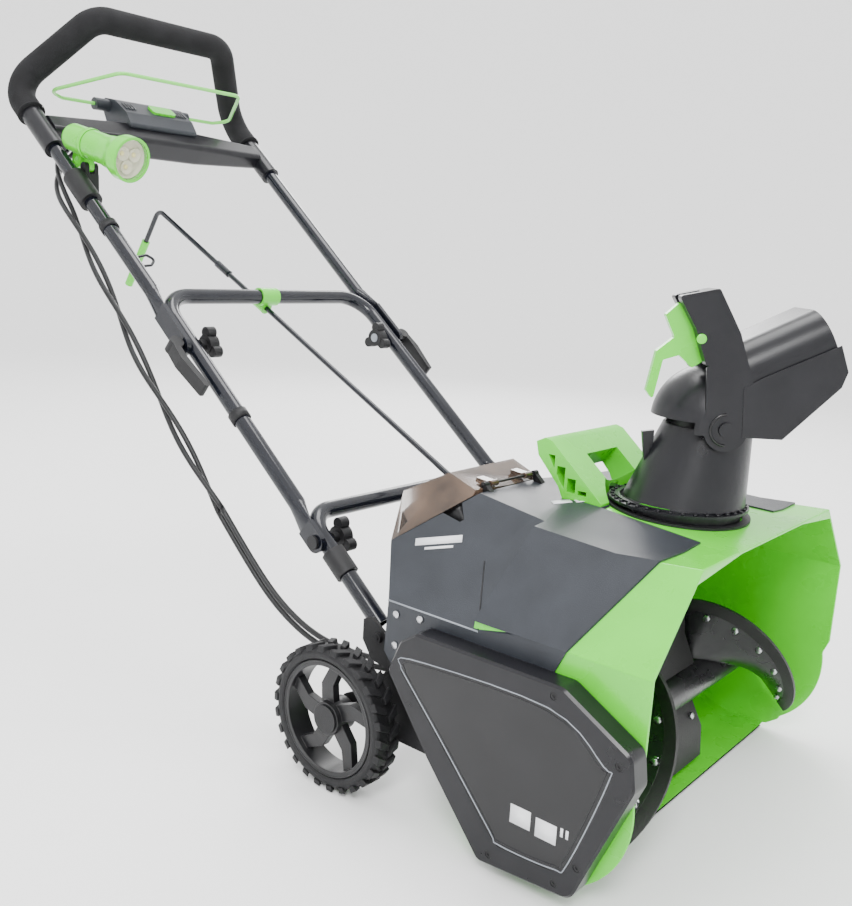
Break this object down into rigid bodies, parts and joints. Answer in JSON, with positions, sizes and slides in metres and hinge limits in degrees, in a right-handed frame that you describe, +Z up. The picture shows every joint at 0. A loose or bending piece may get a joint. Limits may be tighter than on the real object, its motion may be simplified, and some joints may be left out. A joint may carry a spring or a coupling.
{
  "type": "cordless snow shovel",
  "caption": "Wheeled walk-behind battery snow thrower with auger housing, swivelling chute, folding tubular handle, crank, bail and work light.",
  "frame": {"origin": "bottom centre of the whole machine's box, on the ground", "axes": "+X across the machine, from the belt cover's side to the other; +Y rearward, from the auger to the handle; +Z up"},
  "size_m": [0.584, 1.2492, 0.975],
  "materials": {
    "lime": "semi-gloss moulded plastic",
    "charcoal": "satin moulded plastic",
    "black_matte": "matt moulded plastic",
    "black_satin": "satin moulded plastic",
    "black_gloss": "polished plastic",
    "smoke": "smoky brown clear plastic",
    "battery": "matt moulded plastic",
    "board": "circuit board with metal fins",
    "rubber": "moulded rubber",
    "tyre_rubber": "moulded rubber with chunky lugs",
    "foam": "closed-cell foam sleeve",
    "cable": "rubber jacket",
    "tube": "gloss powder coat",
    "green_wire": "gloss coated wire",
    "steel": "zinc plated steel",
    "auger_paint": "semi-gloss paint",
    "aluminium": "die cast",
    "lens": "clear plastic"
  },
  "bodies": {
    "chassis": {"auger_housing": "lime", "scraper_bar": "rubber", "motor_hood": "charcoal", "carry_handle": "lime", "lid_hinge": "black_matte", "battery_bay": "black_matte", "battery_pack": "battery", "motor_controller": "board", "drive_belt": "rubber", "motor_case": "aluminium", "motor_mount": "aluminium", "bearings": "aluminium", "bearing_cover": "black_matte", "belt_cover": "black_satin", "cover_panel": "black_gloss", "cover_screws": "steel", "base_pan": "black_matte", "frame_brackets": "steel", "frame_bolts": "steel", "axle": "steel", "lower_frame": "tube", "leg_clamps": "black_matte", "chute_base_ring": "black_matte", "cable_lower": "cable"},
    "lid": {"battery_lid": "smoke"},
    "latch": {"battery_latch": "battery"},
    "wheel_near": {"tyre_near": "tyre_rubber", "rim_near": "charcoal"},
    "wheel_far": {"tyre_far": "tyre_rubber", "rim_far": "charcoal"},
    "auger": {"auger_shaft": "steel", "auger_flights": "auger_paint", "auger_rubber": "rubber", "auger_pulley": "aluminium"},
    "rotor": {"motor_rotor": "steel"},
    "idler": {"idler_pulley": "aluminium"},
    "chute": {"chute_tube": "black_satin"},
    "deflector": {"deflector": "black_satin"},
    "trigger": {"trigger": "lime"},
    "pinion": {"pinion": "black_satin"},
    "drive_shaft": {"drive_shaft": "steel"},
    "crank": {"crank_rod": "tube"},
    "crank_grip": {"crank_grip": "lime"},
    "middle_section": {"middle_frame": "tube", "upper_clamps": "black_matte", "rod_guide": "lime", "cable_upper": "cable"},
    "knob_near": {"lower_knob_near": "black_matte"},
    "knob_far": {"lower_knob_far": "black_matte"},
    "cam_near": {"cam_lever_near": "black_matte"},
    "cam_far": {"cam_lever_far": "black_matte"},
    "upper_section": {"upper_frame": "tube", "foam_grip": "foam", "crossbar": "black_satin", "switch_box": "charcoal", "light_collar": "black_matte"},
    "bail": {"bail": "green_wire"},
    "start_button": {"start_button": "lime"},
    "light": {"light_body": "lime", "light_lens": "lens"}
  },
  "joints": [
    {"name": "lid_hinge", "type": "hinge", "parent": "chassis", "child": "lid", "pos_m": [-0.09, -0.29959, 0.364], "axis": [1, 0, 0], "range_deg": [0, 95]},
    {"name": "latch_press", "type": "slide", "parent": "chassis", "child": "latch", "axis": [0, -0.6402, -0.7682], "range_m": [0, 0.002], "stiffness_N_per_m": 300, "springref_m": -0.002},
    {"name": "wheel_near_spin", "type": "hinge", "parent": "chassis", "child": "wheel_near", "pos_m": [-0.2745, -0.20359, 0.088], "axis": [1, 0, 0], "continuous": true},
    {"name": "wheel_far_spin", "type": "hinge", "parent": "chassis", "child": "wheel_far", "pos_m": [0.2745, -0.20359, 0.088], "axis": [1, 0, 0], "continuous": true},
    {"name": "auger_spin", "type": "hinge", "parent": "chassis", "child": "auger", "pos_m": [0, -0.47559, 0.112], "axis": [1, 0, 0], "continuous": true},
    {"name": "motor_spin", "type": "hinge", "parent": "chassis", "child": "rotor", "pos_m": [-0.215, -0.33159, 0.185], "axis": [1, 0, 0], "continuous": true},
    {"name": "idler_spin", "type": "hinge", "parent": "chassis", "child": "idler", "pos_m": [-0.276, -0.41399, 0.1967], "axis": [1, 0, 0], "continuous": true},
    {"name": "chute_swivel", "type": "hinge", "parent": "chassis", "child": "chute", "pos_m": [0, -0.47259, 0.359], "axis": [0, 0, 1], "range_deg": [-130, 50]},
    {"name": "pinion_spin", "type": "hinge", "parent": "chassis", "child": "pinion", "pos_m": [0, -0.38229, 0.359], "axis": [0, 0, 1], "continuous": true},
    {"name": "drive_shaft_spin", "type": "hinge", "parent": "chassis", "child": "drive_shaft", "pos_m": [-0.005, -0.26359, 0.26327], "axis": [0, 0.8901, 0.4557], "continuous": true},
    {"name": "crank_spin", "type": "hinge", "parent": "middle_section", "child": "crank", "pos_m": [-0.005, 0.25541, 0.529], "axis": [0, 0.8901, 0.4557], "continuous": true},
    {"name": "crank_grip_spin", "type": "hinge", "parent": "crank", "child": "crank_grip", "pos_m": [-0.005, 0.52891, 0.66903], "axis": [0, 0.5621, -0.8271], "continuous": true},
    {"name": "deflector_tilt", "type": "hinge", "parent": "chute", "child": "deflector", "pos_m": [0.01706, -0.49221, 0.4535], "axis": [0.7547, 0.6561, 0], "range_deg": [-10, 10]},
    {"name": "trigger_squeeze", "type": "hinge", "parent": "deflector", "child": "trigger", "pos_m": [-0.03849, -0.49081, 0.5497], "axis": [-0.7547, -0.6561, 0], "range_deg": [0, 12], "stiffness_Nm_per_rad": 0.3, "springref_deg": -8.59},
    {"name": "middle_fold", "type": "hinge", "parent": "chassis", "child": "middle_section", "pos_m": [0, -0.09859, 0.26161], "axis": [1, 0, 0], "range_deg": [0, 45], "deforming": ["cable_lower"]},
    {"name": "upper_fold", "type": "hinge", "parent": "middle_section", "child": "upper_section", "pos_m": [0, 0.16841, 0.47937], "axis": [1, 0, 0], "range_deg": [0, 75], "deforming": ["cable_upper"]},
    {"name": "knob_near_turn", "type": "hinge", "parent": "chassis", "child": "knob_near", "pos_m": [-0.173, -0.09859, 0.26161], "axis": [1, 0, 0], "continuous": true},
    {"name": "knob_far_turn", "type": "hinge", "parent": "chassis", "child": "knob_far", "pos_m": [0.173, -0.09859, 0.26161], "axis": [1, 0, 0], "continuous": true},
    {"name": "cam_near_swing", "type": "hinge", "parent": "middle_section", "child": "cam_near", "pos_m": [-0.232, 0.16841, 0.47937], "axis": [0, 0.632, -0.7749], "range_deg": [0, 60]},
    {"name": "cam_far_swing", "type": "hinge", "parent": "middle_section", "child": "cam_far", "pos_m": [0.232, 0.16841, 0.47937], "axis": [0, -0.632, 0.7749], "range_deg": [0, 60]},
    {"name": "bail_squeeze", "type": "hinge", "parent": "upper_section", "child": "bail", "pos_m": [0, 0.58541, 0.834], "axis": [-1, 0, 0], "range_deg": [0, 25], "stiffness_Nm_per_rad": 0.8, "springref_deg": -8.59},
    {"name": "start_press", "type": "slide", "parent": "upper_section", "child": "start_button", "axis": [0, 0.53, -0.848], "range_m": [0, 0.004], "stiffness_N_per_m": 400, "springref_m": -0.003},
    {"name": "light_tilt", "type": "hinge", "parent": "upper_section", "child": "light", "pos_m": [-0.193, 0.43641, 0.72], "axis": [1, 0, 0], "range_deg": [0, 25]}
  ],
  "couplings": [
    {"joint": "motor_spin", "follows": "auger_spin", "ratio": 3.5949},
    {"joint": "idler_spin", "follows": "auger_spin", "ratio": -4.4375},
    {"joint": "pinion_spin", "follows": "chute_swivel", "ratio": -7.1818},
    {"joint": "drive_shaft_spin", "follows": "chute_swivel", "ratio": -7.1818},
    {"joint": "crank_spin", "follows": "chute_swivel", "ratio": -7.1818}
  ]
}
